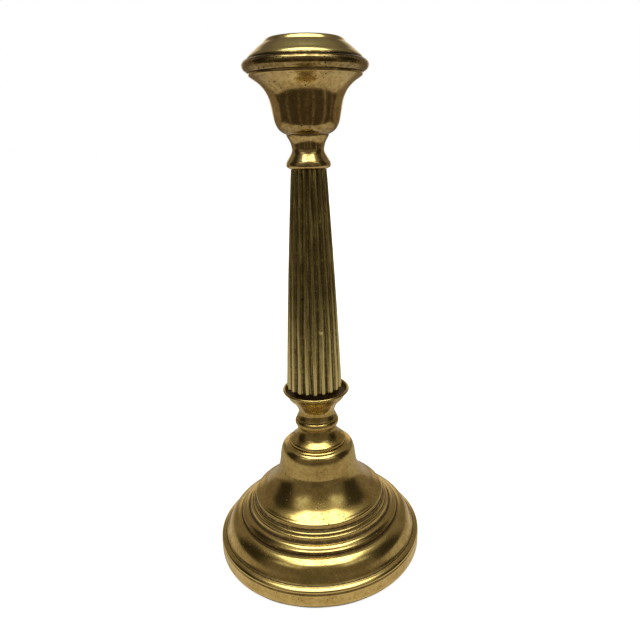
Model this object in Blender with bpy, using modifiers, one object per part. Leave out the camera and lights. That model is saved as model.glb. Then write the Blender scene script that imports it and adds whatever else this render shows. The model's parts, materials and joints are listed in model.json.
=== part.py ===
"""A turned brass candlestick, built as the loose pieces that its tie rod clamps together.

The stack stands on the origin with its axis on +Z. The drip pan and the candle socket soldered into it
lift out of the cup. Lengths are in metres, and every height is worked out from the pieces below it.
"""

import math

import bmesh
import bpy
from mathutils import Matrix, Vector

MM = 0.001

# Fits between pieces
GAP = 0.3 * MM            # between faces that rest on each other
BORE_CLEARANCE = 0.3 * MM  # round the rod
SLIP_CLEARANCE = 0.4 * MM  # round what drops or slides into place

# Foot
FOOT_RADIUS = 58.8 * MM
BAND_HEIGHT = 8.3 * MM
BAND_FLARE = 0.4 * MM
FOOT_WALL = 2.6 * MM
FOOT_HEIGHT = 65.8 * MM
SHOULDER_RADIUS = 22.3 * MM
FOOT_RIM_WALL = 5.9 * MM
PAD_THICKNESS = 1.2 * MM
PAD_INSET = 1.3 * MM

# Clamping pieces
ROD_RADIUS = 3.0 * MM
NUT_ACROSS_FLATS = 10.0 * MM
NUT_HEIGHT = 5.0 * MM
WASHER_THICKNESS = 1.0 * MM
WASHER_RADIUS = 7.2 * MM
LOCK_WASHER_RADIUS = 5.6 * MM
LOCK_WASHER_SLOT = 0.8 * MM
ROD_END_BELOW_NUT = 1.2 * MM
ROD_END_ABOVE_NUT = 1.8 * MM
PLATE_THICKNESS = 1.6 * MM
PLATE_WELL_RADIUS = 13.0 * MM
PLATE_WELL_DEPTH = 9.0 * MM
PLATE_LEDGE_HEIGHT = 4.2 * MM
PLATE_LEDGE = 2.0 * MM

# Small turned pieces between the foot and the column
CAP_HEIGHT = 9.6 * MM
CAP_INSET = 6.1 * MM      # of the cap's edge from the foot's shoulder
STEM_RADIUS = 10.7 * MM
KNOP_HEIGHT = 4.9 * MM
KNOP_RADIUS = 12.4 * MM
SEAT_HEIGHT = 17.6 * MM
SEAT_WAIST_RADIUS = 10.2 * MM
SEAT_RIM_REACH = 3.3 * MM  # of the rim beyond the column's foot
SEAT_RIM_THICKNESS = 1.3 * MM
SEAT_RECESS_DEPTH = 2.6 * MM
BOSS_INSET = 2.8 * MM     # of the boss from the column's foot
BOSS_RISE = 0.9 * MM

# Column
COLUMN_HEIGHT = 118.6 * MM
COLUMN_FOOT_RADIUS = 15.4 * MM
COLUMN_HEAD_RADIUS = 9.1 * MM
COLUMN_SWELL = 0.35 * MM
COLUMN_BORE = 5.6 * MM
FLUTES = 20
FLUTE_SHARE = 0.64        # of each flute's pitch that the hollow takes
FLUTE_PHASE = math.radians(2.0)

# Neck and cup
NECK_HEIGHT = 16.4 * MM
NECK_WAIST_RADIUS = 8.1 * MM
FLANGE_REACH = 2.2 * MM   # of the flange beyond the column's head
CUP_BODY_RADIUS = 17.0 * MM
CUP_BEAD_REACH = 2.8 * MM  # of the bead beyond the drip pan
CUP_WALL = 1.9 * MM
CUP_FLOOR = 3.6 * MM

# Lift-out nozzle
PAN_RADIUS = 28.0 * MM
PAN_HEIGHT = 9.0 * MM
PAN_DISH_DEPTH = 2.2 * MM
PAN_LIP_RADIUS = 19.3 * MM
PAN_WALL = 1.3 * MM
SPIGOT_LENGTH = 3.0 * MM
SPIGOT_WALL = 1.1 * MM
CANDLE_BORE = 11.2 * MM
SOCKET_WALL = 1.1 * MM
SOCKET_DEPTH = 25.0 * MM
SOCKET_ROOM = 3.0 * MM    # between the socket and the rod's end

STEPS = 32                # sides of a turned piece
FINE_STEPS = 24           # sides of a small turned piece
BEVEL = 0.25 * MM

BORE = ROD_RADIUS + BORE_CLEARANCE
PLATE_RIM = FOOT_RADIUS - FOOT_RIM_WALL - SLIP_CLEARANCE
CAP_RADIUS = SHOULDER_RADIUS - CAP_INSET
BOSS_RADIUS = COLUMN_FOOT_RADIUS - BOSS_INSET
SEAT_RIM_RADIUS = COLUMN_FOOT_RADIUS + SEAT_RIM_REACH
FLANGE_RADIUS = COLUMN_HEAD_RADIUS + FLANGE_REACH
CUP_BEAD_RADIUS = PAN_RADIUS + CUP_BEAD_REACH
DISH_ABOVE_RIM = GAP + PAN_HEIGHT - PAN_DISH_DEPTH
CLAMP_STACK = 2.0 * GAP + WASHER_THICKNESS + NUT_HEIGHT + ROD_END_ABOVE_NUT
CUP_HEIGHT = CUP_FLOOR + CLAMP_STACK + SOCKET_ROOM + SOCKET_WALL + SOCKET_DEPTH - DISH_ABOVE_RIM


def clear_scene():
    """Start from an empty file, whatever it held."""
    for old in list(bpy.data.objects):
        bpy.data.objects.remove(old)


def make_collection(name):
    """A collection linked to the scene."""
    made = bpy.data.collections.new(name)
    bpy.context.scene.collection.children.link(made)
    return made


def make_material(name, color, roughness, metallic):
    """A plain Principled material."""
    made = bpy.data.materials.new(name)
    made.use_nodes = True
    shader = made.node_tree.nodes["Principled BSDF"]
    shader.inputs["Base Color"].default_value = (*color, 1.0)
    shader.inputs["Roughness"].default_value = roughness
    shader.inputs["Metallic"].default_value = metallic
    return made


def bow(start, end, bulge, pieces=3):
    """Points along the arc from start to end, without start. bulge is the arc's rise over half its chord,
    and a positive one swells away from the axis on the way down the outer side."""
    if not bulge:
        return [end]
    start, end = Vector(start), Vector(end)
    chord = end - start
    turn = 4.0 * math.atan(bulge)
    radius = chord.length / (2.0 * math.sin(turn / 2.0))
    across = Vector((chord.y, -chord.x)).normalized() * -1.0
    centre = (start + end) / 2.0 - across * radius * math.cos(turn / 2.0)
    spoke = start - centre
    return [tuple(centre + Matrix.Rotation(-turn * i / pieces, 2) @ spoke) for i in range(1, pieces + 1)]


def trace(corners):
    """An outline from (radius, height) corners; a third value bows the stretch that ends at the corner."""
    points = [corners[0][:2]]
    for corner in corners[1:]:
        points += bow(points[-1], corner[:2], corner[2] if len(corner) > 2 else 0.0)
    return points


def link(name, mesh, collection, material):
    """A named object that holds the mesh, with the material if it has one."""
    made = bpy.data.objects.new(name, mesh)
    collection.objects.link(made)
    if material:
        mesh.materials.append(material)
    return made


def turn_shape(name, outline, collection, material, steps=STEPS):
    """Spin a closed outline, given down its outer side and back up its bore, about +Z."""
    mesh = bpy.data.meshes.new(name)
    count = len(outline)
    edges = [(i, (i + 1) % count) for i in range(count)]
    mesh.from_pydata([(radius, 0.0, height) for radius, height in outline], edges, [])
    made = link(name, mesh, collection, material)
    screw = made.modifiers.new("Turn", "SCREW")
    screw.axis = "Z"
    screw.angle = math.tau
    screw.steps = steps
    screw.render_steps = steps
    screw.use_merge_vertices = True
    screw.merge_threshold = 0.01 * MM
    screw.use_smooth_shade = True
    return made


def prism_mesh(name, sides, radius, low, high):
    """A closed mesh of a cylinder or prism on +Z between two heights."""
    shape = bmesh.new()
    place = Matrix.Translation((0.0, 0.0, (low + high) / 2.0))
    bmesh.ops.create_cone(
        shape, cap_ends=True, segments=sides, radius1=radius, radius2=radius, depth=high - low, matrix=place,
    )
    mesh = bpy.data.meshes.new(name)
    shape.to_mesh(mesh)
    shape.free()
    return mesh


def make_cutter(name, mesh, collection):
    """An object that only cuts."""
    made = link(name, mesh, collection, None)
    made.hide_render = True
    made.display_type = "WIRE"
    return made


def cut(target, cutter):
    """Take the cutter out of the target."""
    boolean = target.modifiers.new("Cut " + cutter.name, "BOOLEAN")
    boolean.operation = "DIFFERENCE"
    boolean.solver = "EXACT"
    boolean.object = cutter


def soften(target, width=BEVEL):
    """Break the sharp edges."""
    bevel = target.modifiers.new("Broken edges", "BEVEL")
    bevel.width = width
    bevel.segments = 1
    bevel.limit_method = "ANGLE"
    bevel.angle_limit = math.radians(50.0)


def make_pad(parts, felt):
    """The felt disc that the foot stands on."""
    mesh = prism_mesh("baize_pad", 2 * STEPS, FOOT_RADIUS - PAD_INSET, 0.0, PAD_THICKNESS)
    link("baize_pad", mesh, parts, felt)


def foot_profile(base):
    """The foot's outer outline, top to bottom: shoulder, cove, upper dome, fillets, ring, lower dome, bead, band."""
    top = base + FOOT_HEIGHT
    band = base + BAND_HEIGHT
    dome_rise = FOOT_HEIGHT - BAND_HEIGHT
    shoulder = SHOULDER_RADIUS
    rim = FOOT_RADIUS + BAND_FLARE
    reach = rim - shoulder

    def level(share):
        return band + dome_rise * share

    def out(share):
        return shoulder + reach * share

    crease = out(0.92)
    return [
        (CAP_RADIUS, top),
        (CAP_RADIUS + 0.7 * MM, top),
        (shoulder - 2.2 * MM, level(0.925), 0.10),
        (shoulder, level(0.80), 0.22),
        (shoulder + 0.4 * MM, level(0.745)),
        (out(0.200), level(0.545), -0.40),
        (out(0.388), level(0.437), 0.06),
        (out(0.398), level(0.425), 0.3),
        (out(0.394), level(0.408)),
        (out(0.422), level(0.398)),
        (out(0.424), level(0.380)),
        (out(0.458), level(0.368)),
        (out(0.468), level(0.350)),
        (out(0.628), level(0.260), 0.38),
        (out(0.614), level(0.236)),
        (out(0.655), level(0.248), 0.2),
        (out(0.885), level(0.09), 0.36),
        (crease, level(0.048), -0.25),
        (rim, band + 0.1 * MM, 0.5),
        (rim - 0.5 * MM, band - 0.3 * MM),
        (rim, band - 0.7 * MM),
        (FOOT_RADIUS, base),
    ]


def make_foot(parts, brass, base):
    """The hollow cast foot, with a ledge inside its mouth for the clamp plate."""
    top = base + FOOT_HEIGHT
    band = base + BAND_HEIGHT
    dome_rise = FOOT_HEIGHT - BAND_HEIGHT
    reach = FOOT_RADIUS - SHOULDER_RADIUS
    ledge = base + PLATE_LEDGE_HEIGHT
    throat = SHOULDER_RADIUS - FOOT_WALL
    inside = [
        (PLATE_RIM + SLIP_CLEARANCE, base),
        (PLATE_RIM + SLIP_CLEARANCE, ledge),
        (PLATE_RIM - PLATE_LEDGE, ledge),
        (PLATE_RIM - PLATE_LEDGE, band),
        (SHOULDER_RADIUS + reach * 0.68, band + dome_rise * 0.12),
        (SHOULDER_RADIUS + reach * 0.52, band + dome_rise * 0.19),
        (SHOULDER_RADIUS + reach * 0.36, band + dome_rise * 0.32),
        (SHOULDER_RADIUS + reach * 0.23, band + dome_rise * 0.42),
        (throat + 0.5 * MM, band + dome_rise * 0.58),
        (throat, band + dome_rise * 0.80),
        (throat * 0.72, top - FOOT_WALL * 1.5),
        (BORE, top - FOOT_WALL),
        (BORE, top),
    ]
    turn_shape("foot", trace(foot_profile(base)) + inside, parts, brass)


def make_clamping(parts, cutters, steel, base):
    """Plate, split washer and nut under the foot. Returns the height of the rod's lower end."""
    seat = base + PLATE_LEDGE_HEIGHT - GAP
    well = seat + PLATE_WELL_DEPTH
    slope = PLATE_WELL_DEPTH
    low = seat - PLATE_THICKNESS
    plate = [
        (BORE, well),
        (PLATE_WELL_RADIUS, well),
        (PLATE_WELL_RADIUS + slope, seat),
        (PLATE_RIM, seat),
        (PLATE_RIM, low),
        (PLATE_WELL_RADIUS + slope - PLATE_THICKNESS * 0.6, low),
        (PLATE_WELL_RADIUS - PLATE_THICKNESS * 0.6, well - PLATE_THICKNESS),
        (BORE, well - PLATE_THICKNESS),
    ]
    turn_shape("clamp_plate", plate, parts, steel)

    washer_top = well - PLATE_THICKNESS - GAP
    washer_low = washer_top - WASHER_THICKNESS
    ring = [
        (LOCK_WASHER_RADIUS, washer_top),
        (LOCK_WASHER_RADIUS, washer_low),
        (BORE, washer_low),
        (BORE, washer_top),
    ]
    washer = turn_shape("lock_washer", ring, parts, steel, FINE_STEPS)
    slot = bpy.data.meshes.new("washer_slot")
    shape = bmesh.new()
    long = LOCK_WASHER_RADIUS * 1.5
    place = Matrix.Translation((long / 2.0, 0.0, washer_low)) @ Matrix.Rotation(math.radians(20.0), 4, "X")
    size = Matrix.Diagonal((long, LOCK_WASHER_SLOT, WASHER_THICKNESS * 8.0, 1.0))
    bmesh.ops.create_cube(shape, size=1.0, matrix=place @ size)
    shape.to_mesh(slot)
    shape.free()
    cut(washer, make_cutter("washer_slot", slot, cutters))

    nut_top = washer_low - GAP
    make_nut("foot_nut", parts, cutters, steel, nut_top - NUT_HEIGHT)
    return nut_top - NUT_HEIGHT - ROD_END_BELOW_NUT


def make_nut(name, parts, cutters, steel, low):
    """A hexagon nut with its bore along +Z, its lower face at the given height."""
    corner = NUT_ACROSS_FLATS / math.sqrt(3.0)
    nut = link(name, prism_mesh(name, 6, corner, low, low + NUT_HEIGHT), parts, steel)
    soften(nut)
    drill = prism_mesh(name + "_drill", FINE_STEPS, BORE, low - NUT_HEIGHT, low + 2.0 * NUT_HEIGHT)
    cut(nut, make_cutter(name + "_drill", drill, cutters))


def make_foot_cap(parts, brass, low):
    """The flared cone over the foot's shoulder. Returns the height of its top."""
    top = low + CAP_HEIGHT
    outline = trace([
        (STEM_RADIUS - 0.2 * MM, top),
        (STEM_RADIUS + 0.3 * MM, top - 0.6 * MM),
        (STEM_RADIUS + 2.1 * MM, low + CAP_HEIGHT * 0.42, -0.18),
        (CAP_RADIUS, low + 0.5 * MM, 0.22),
        (CAP_RADIUS - 0.2 * MM, low),
        (BORE, low),
        (BORE, top),
    ])
    turn_shape("foot_cap", outline, parts, brass)
    return top


def make_ring_knop(parts, brass, low):
    """The round bead ring. Returns the height of its top."""
    top = low + KNOP_HEIGHT
    outline = trace([
        (STEM_RADIUS, top),
        (KNOP_RADIUS, low + KNOP_HEIGHT / 2.0, 0.41),
        (STEM_RADIUS, low, 0.41),
        (BORE, low),
        (BORE, top),
    ])
    turn_shape("ring_knop", outline, parts, brass)
    return top


def make_column_seat(parts, brass, low):
    """The flared collar with its recess and the boss that carries the column. Returns the boss's height."""
    rim = low + SEAT_HEIGHT
    recess = rim - SEAT_RECESS_DEPTH
    boss = rim + BOSS_RISE
    inner_rim = SEAT_RIM_RADIUS - SEAT_RIM_THICKNESS
    neck_top = rim - 5.8 * MM
    outline = trace([
        (inner_rim + 0.1 * MM, rim),
        (SEAT_RIM_RADIUS, rim - 0.5 * MM, 0.3),
        (SEAT_RIM_RADIUS - 0.3 * MM, rim - 1.0 * MM, 0.2),
        (SEAT_RIM_RADIUS - 2.8 * MM, rim - 4.3 * MM),
        (SEAT_RIM_RADIUS - 3.1 * MM, rim - 5.0 * MM),
        (SEAT_RIM_RADIUS - 3.6 * MM, neck_top),
        (SEAT_WAIST_RADIUS, low + SEAT_HEIGHT * 0.24, -0.11),
        (STEM_RADIUS + 0.8 * MM, low, -0.16),
        (BORE, low),
        (BORE, boss),
        (BOSS_RADIUS, boss),
        (BOSS_RADIUS, recess),
        (inner_rim - 1.0 * MM, recess),
    ])
    turn_shape("column_seat", outline, parts, brass)
    return boss


def column_radius(share):
    """The lands' radius at a share of the column's height: a straight taper plus a slight swell."""
    taper = COLUMN_FOOT_RADIUS + (COLUMN_HEAD_RADIUS - COLUMN_FOOT_RADIUS) * share
    return taper + COLUMN_SWELL * math.sin(math.pi * share)


def make_column(parts, cutters, brass, low):
    """The hollow fluted column. Returns the height of its top."""
    top = low + COLUMN_HEIGHT
    bands = 4
    shares = [1.0 - i / bands for i in range(bands + 1)]
    outline = [(column_radius(share), low + COLUMN_HEIGHT * share) for share in shares]
    outline += [(COLUMN_BORE, low), (COLUMN_BORE, top)]
    column = turn_shape("fluted_column", outline, parts, brass, 3 * FLUTES)

    half_pitch = math.pi / FLUTES
    foot_cut = COLUMN_FOOT_RADIUS * half_pitch * FLUTE_SHARE
    head_cut = COLUMN_HEAD_RADIUS * half_pitch * FLUTE_SHARE
    overrun = 0.08
    slope = (COLUMN_HEAD_RADIUS - COLUMN_FOOT_RADIUS) / COLUMN_HEIGHT
    lean = math.atan(slope)
    shape = bmesh.new()
    for number in range(FLUTES):
        around = FLUTE_PHASE + math.tau * (number + 0.5) / FLUTES - math.pi / 2.0
        middle = (COLUMN_FOOT_RADIUS + COLUMN_HEAD_RADIUS) / 2.0 + COLUMN_SWELL * 0.64
        place = (
            Matrix.Rotation(around, 4, "Z")
            @ Matrix.Translation((middle, 0.0, low + COLUMN_HEIGHT / 2.0))
            @ Matrix.Rotation(lean, 4, "Y")
        )
        bmesh.ops.create_cone(
            shape, cap_ends=True, segments=8,
            radius1=foot_cut + (foot_cut - head_cut) * overrun,
            radius2=head_cut - (foot_cut - head_cut) * overrun,
            depth=COLUMN_HEIGHT * (1.0 + 2.0 * overrun),
            matrix=place,
        )
    flutes = bpy.data.meshes.new("flutes")
    shape.to_mesh(flutes)
    shape.free()
    cut(column, make_cutter("flutes", flutes, cutters))
    return top


def make_neck(parts, brass, low):
    """The spool that caps the column and carries the cup. Returns the height of its top."""
    top = low + NECK_HEIGHT
    waist = low + NECK_HEIGHT * 0.58
    outline = trace([
        (NECK_WAIST_RADIUS + 2.4 * MM, top),
        (NECK_WAIST_RADIUS + 2.0 * MM, top - 1.0 * MM),
        (NECK_WAIST_RADIUS, waist, -0.13),
        (FLANGE_RADIUS - 0.3 * MM, low + 2.8 * MM, -0.14),
        (FLANGE_RADIUS, low + 2.1 * MM, 0.2),
        (FLANGE_RADIUS - 0.5 * MM, low + 1.2 * MM, 0.2),
        (COLUMN_HEAD_RADIUS + 0.3 * MM, low),
        (BORE, low),
        (BORE, top),
    ])
    turn_shape("cup_neck", outline, parts, brass)
    return top


def make_cup(parts, brass, low):
    """The bell-shaped cup with its rim bead. Returns the heights of its floor and rim."""
    rim = low + CUP_HEIGHT
    floor = low + CUP_FLOOR
    bead_low = rim - 6.2 * MM
    mouth = PAN_RADIUS - 2.4 * MM
    inner = CUP_BODY_RADIUS - CUP_WALL
    outline = trace([
        (mouth, rim),
        (PAN_RADIUS + 0.3 * MM, rim),
        (CUP_BEAD_RADIUS, rim - 2.4 * MM, 0.30),
        (PAN_RADIUS - 0.8 * MM, bead_low, 0.24),
        (CUP_BEAD_RADIUS - 7.2 * MM, rim - 9.6 * MM, 0.12),
        (CUP_BODY_RADIUS + 0.6 * MM, low + 14.8 * MM, -0.19),
        (CUP_BODY_RADIUS - 0.7 * MM, low + 7.0 * MM, 0.03),
        (CUP_BODY_RADIUS - 4.4 * MM, low + 0.9 * MM, 0.28),
        (NECK_WAIST_RADIUS + 2.9 * MM, low, -0.1),
        (BORE, low),
        (BORE, floor),
        (inner - 3.6 * MM, floor),
        (inner - 0.8 * MM, floor + 3.4 * MM, -0.3),
        (inner + 0.6 * MM, low + 15.2 * MM),
        (CUP_BEAD_RADIUS - 9.0 * MM, rim - 8.2 * MM, 0.22),
        (mouth - 0.2 * MM, bead_low + 0.9 * MM, -0.1),
    ])
    turn_shape("candle_cup", outline, parts, brass)
    return floor, rim


def make_nozzle(parts, brass, pivot, rim):
    """The drip pan and the socket soldered into it. Both hang from the empty on the lifting axis."""
    low = rim + GAP
    top = low + PAN_HEIGHT
    tube = CANDLE_BORE + SOCKET_WALL
    collar = tube + GAP
    dish = top - PAN_DISH_DEPTH
    mouth = PAN_RADIUS - 2.4 * MM - SLIP_CLEARANCE
    pan = trace([
        (PAN_LIP_RADIUS - 1.6 * MM, top),
        (PAN_LIP_RADIUS - 0.6 * MM, top - 0.4 * MM),
        (PAN_LIP_RADIUS, top - 1.2 * MM),
        (PAN_LIP_RADIUS + 0.6 * MM, top - 1.7 * MM),
        (PAN_LIP_RADIUS + 0.9 * MM, top - 2.2 * MM),
        (PAN_RADIUS - 2.6 * MM, low + 2.5 * MM, -0.05),
        (PAN_RADIUS, low + 0.6 * MM, 0.2),
        (PAN_RADIUS, low),
        (mouth, low),
        (mouth, low - SPIGOT_LENGTH),
        (mouth - SPIGOT_WALL, low - SPIGOT_LENGTH),
        (mouth - SPIGOT_WALL, low + 0.6 * MM),
        (PAN_LIP_RADIUS - 1.5 * MM, dish - PAN_WALL, -0.08),
        (collar, dish - PAN_WALL - 0.2 * MM),
        (collar, dish - 0.1 * MM),
        (PAN_LIP_RADIUS - 3.6 * MM, dish + 0.4 * MM, -0.1),
    ])
    lifted = [turn_shape("drip_pan", pan, parts, brass)]

    bottom = dish - SOCKET_DEPTH
    socket = [
        (tube, dish),
        (tube, bottom - SOCKET_WALL),
        (0.0, bottom - SOCKET_WALL),
        (0.0, bottom),
        (CANDLE_BORE, bottom),
        (CANDLE_BORE, dish),
    ]
    lifted.append(turn_shape("candle_socket", socket, parts, brass))
    for piece in lifted:
        piece.parent = pivot
        piece.matrix_parent_inverse = pivot.matrix_world.inverted()


def build():
    """Stack every piece from the table up."""
    clear_scene()
    parts = make_collection("brass_candlestick")
    cutters = make_collection("cutters")

    pan_brass = make_material("pan_brass", (0.52, 0.42, 0.20), 0.22, 1.0)
    cup_brass = make_material("cup_brass", (0.50, 0.36, 0.17), 0.30, 1.0)
    column_brass = make_material("column_brass", (0.28, 0.23, 0.11), 0.38, 1.0)
    foot_brass = make_material("foot_brass", (0.55, 0.43, 0.20), 0.24, 1.0)
    steel = make_material("steel", (0.42, 0.41, 0.39), 0.40, 1.0)
    felt = make_material("felt", (0.03, 0.05, 0.04), 0.95, 0.0)

    make_pad(parts, felt)
    base = PAD_THICKNESS + GAP
    make_foot(parts, foot_brass, base)
    rod_low = make_clamping(parts, cutters, steel, base)
    cap_top = make_foot_cap(parts, foot_brass, base + FOOT_HEIGHT + GAP)
    knop_top = make_ring_knop(parts, foot_brass, cap_top + GAP)
    boss = make_column_seat(parts, foot_brass, knop_top + GAP)
    column_top = make_column(parts, cutters, column_brass, boss + GAP)
    neck_top = make_neck(parts, cup_brass, column_top + GAP)
    floor, rim = make_cup(parts, cup_brass, neck_top + GAP)

    washer_low = floor + GAP
    washer = [
        (WASHER_RADIUS, washer_low + WASHER_THICKNESS),
        (WASHER_RADIUS, washer_low),
        (BORE, washer_low),
        (BORE, washer_low + WASHER_THICKNESS),
    ]
    turn_shape("cup_washer", washer, parts, steel, FINE_STEPS)
    nut_low = washer_low + WASHER_THICKNESS + GAP
    make_nut("cup_nut", parts, cutters, steel, nut_low)

    rod_high = nut_low + NUT_HEIGHT + ROD_END_ABOVE_NUT
    rod = link("tie_rod", prism_mesh("tie_rod", FINE_STEPS, ROD_RADIUS, rod_low, rod_high), parts, steel)
    soften(rod, 2.0 * BEVEL)

    pivot = bpy.data.objects.new("nozzle_lift", None)
    pivot.location = (0.0, 0.0, rim)
    parts.objects.link(pivot)
    bpy.context.view_layer.update()
    make_nozzle(parts, pan_brass, pivot, rim)


build()
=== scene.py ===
# %% [markdown]
# # A turned brass candlestick
#
# The real stick is a stack of brass pieces on a hollow foot, held together by one long rod. Nearly all of it
# was made on a lathe, so nearly all of it is an outline carried round an axis. Brass shows its shape by what
# it mirrors, so this lesson spends its effort on three things: clean outlines, a finish that is worn in the
# right places, and a room for the metal to mirror.
#
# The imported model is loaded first. It fixes where every piece goes and which pieces move.

import json
import math

import bmesh
import bpy
import numpy as np
from mathutils import Matrix, Vector

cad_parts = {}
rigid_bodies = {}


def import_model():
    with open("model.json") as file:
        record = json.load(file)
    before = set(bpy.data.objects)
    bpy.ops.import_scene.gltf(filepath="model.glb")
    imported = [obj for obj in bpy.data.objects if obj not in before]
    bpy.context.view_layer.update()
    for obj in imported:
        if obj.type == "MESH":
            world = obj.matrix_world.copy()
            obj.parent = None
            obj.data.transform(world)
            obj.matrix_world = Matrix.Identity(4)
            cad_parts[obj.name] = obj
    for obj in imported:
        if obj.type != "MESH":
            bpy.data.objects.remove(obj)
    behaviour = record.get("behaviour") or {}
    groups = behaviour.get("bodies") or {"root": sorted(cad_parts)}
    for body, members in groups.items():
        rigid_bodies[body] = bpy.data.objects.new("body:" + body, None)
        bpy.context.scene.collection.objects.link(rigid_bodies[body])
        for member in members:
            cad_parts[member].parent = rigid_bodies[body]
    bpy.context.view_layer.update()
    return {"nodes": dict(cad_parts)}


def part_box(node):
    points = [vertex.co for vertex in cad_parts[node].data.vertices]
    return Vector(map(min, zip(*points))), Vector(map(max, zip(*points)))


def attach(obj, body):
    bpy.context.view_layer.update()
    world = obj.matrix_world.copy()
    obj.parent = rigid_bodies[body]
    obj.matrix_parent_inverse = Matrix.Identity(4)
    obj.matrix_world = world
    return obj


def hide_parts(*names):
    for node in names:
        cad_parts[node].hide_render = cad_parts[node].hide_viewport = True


for old in list(bpy.data.objects):
    bpy.data.objects.remove(old)
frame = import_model()
MM = 0.001

# %% [markdown]
# ## The camera
#
# The eye is close to the stick and a little lower than its rim, so the foot looks small for its size and the
# ellipses open quickly towards it. A long lens from far away would flatten both. The camera here stands about
# thirty centimetres off the axis, tips down by seventeen degrees and leans by one.
#
# A camera looks along its own -Z, so its turning matrix is made of three unit vectors: right, up and back.

# %% Place the camera
EYE_DISTANCE = 0.3052
EYE_HEIGHT = 0.2365
EYE_TURN = math.radians(2.70)
EYE_TIP = math.radians(17.20)
EYE_LEAN = math.radians(-1.09)

ahead = Vector((
    math.sin(EYE_TURN) * math.cos(EYE_TIP),
    math.cos(EYE_TURN) * math.cos(EYE_TIP),
    -math.sin(EYE_TIP),
))
level = Vector((math.cos(EYE_TURN), -math.sin(EYE_TURN), 0.0))
upright = level.cross(ahead)
right = math.cos(EYE_LEAN) * level + math.sin(EYE_LEAN) * upright
up = math.cos(EYE_LEAN) * upright - math.sin(EYE_LEAN) * level

lens = bpy.data.cameras.new("camera")
lens.sensor_width = 36.0
lens.lens = 32.91
lens.shift_x = -0.0312
lens.shift_y = -0.0066
lens.clip_start = 0.01
camera = bpy.data.objects.new("camera", lens)
bpy.context.scene.collection.objects.link(camera)
turning = Matrix((right, up, -ahead)).transposed().to_4x4()
camera.matrix_world = Matrix.Translation((0.0, -EYE_DISTANCE, EYE_HEIGHT)) @ turning
bpy.context.scene.camera = camera
print("camera", round(EYE_HEIGHT / MM), "mm up, field of view", round(math.degrees(lens.angle), 1), "degrees")

# %% [markdown]
# ## Drawing an outline
#
# A turned outline is a few smooth sweeps that meet at creases. A Bezier curve could hold them, but a natural
# cubic spline needs nothing except the points it goes through, and numpy solves one in a few lines. Each
# sweep is its own spline, so the creases between sweeps stay crisp, and two rounds of averaging then take the
# knife edge off them, as polishing does.

# %% Sweeps, creases and their rounding
def sweep(points, step):
    """A natural cubic spline through the points, sampled at an even step. Its second slopes m solve the usual
    tridiagonal system: h0 m0 + 2 (h0 + h1) m1 + h1 m2 = 6 (change of slope)."""
    points = np.asarray(points, float)
    gaps = np.hypot(*np.diff(points, axis=0).T)
    along = np.concatenate([[0.0], np.cumsum(gaps)])
    count = len(points)
    system = np.eye(count)
    inner = np.arange(1, count - 1)
    system[inner, inner - 1] = gaps[:-1]
    system[inner, inner] = 2.0 * (gaps[:-1] + gaps[1:])
    system[inner, inner + 1] = gaps[1:]
    slopes = np.diff(points, axis=0) / gaps[:, None]
    change = np.zeros_like(points)
    change[1:-1] = 6.0 * np.diff(slopes, axis=0)
    bend = np.linalg.solve(system, change)
    at = np.linspace(0.0, along[-1], max(2, int(round(along[-1] / step)) + 1))
    span = np.clip(np.searchsorted(along, at, side="right") - 1, 0, count - 2)
    width = gaps[span][:, None]
    left = (along[span + 1] - at)[:, None]
    past = (at - along[span])[:, None]
    line = (points[span] * left + points[span + 1] * past) / width
    curve = bend[span] * (left ** 3 / width - width * left) + bend[span + 1] * (past ** 3 / width - width * past)
    return line + curve / 6.0


def calmed(points, rounds):
    """Averages each point with its two neighbours, a half and two quarters, and leaves the ends alone."""
    points = points.copy()
    for _ in range(rounds):
        points[1:-1] = 0.25 * points[:-2] + 0.5 * points[1:-1] + 0.25 * points[2:]
    return points


def outline(sweeps, step=0.3, calm=4, crease=2):
    """Joins sweeps, given in millimetres from the top down, into one outline."""
    joined = [calmed(sweep(points, step), calm) for points in sweeps]
    return calmed(np.concatenate(joined), crease)


print("a test sweep has", len(sweep([(0, 0), (3, 1), (4, 5)], 0.3)), "points")

# %% [markdown]
# ## Carrying an outline round the axis
#
# Blender's Spin and Screw tools turn an outline too, but a grid of points worked out at once lets a shape
# change with height and with angle together. That is how the little unevenness of hand polishing gets in, and
# it is what makes the mirrored window edges waver.
#
# The mesh also notes how far each point of the outside stands proud of its surroundings. Polishing keeps
# proud edges bright and leaves dark wax in hollows, so every finish below reads that note, stored as
# "relief". It runs from -1 in a crease to 1 on an edge. Insides are never polished, and they are noted as -1.

# %% From grids to meshes
SEED = 7
RELIEF_ROUNDS = 6       # rounds of averaging that blur an outline before it is compared with itself
FULL_RELIEF = 0.08      # mm proud of the blurred outline that counts as a full edge
EVEN_CORE = 8.0         # mm from the axis below which the unevenness dies away
rng = np.random.default_rng(SEED)


def waver(angle, height, size, length):
    """A gentle unevenness: the sum of six waves round and along the piece, with size and length in mm."""
    total = np.zeros(np.broadcast(angle, height).shape)
    for _ in range(6):
        turns = rng.integers(1, 9)
        pitch = length * rng.uniform(0.6, 1.8)
        lag, slip = rng.uniform(0.0, math.tau, 2)
        total += np.sin(turns * angle + lag + math.tau * height / pitch) * np.cos(math.tau * height / pitch + slip)
    return total * size / 3.0


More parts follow.
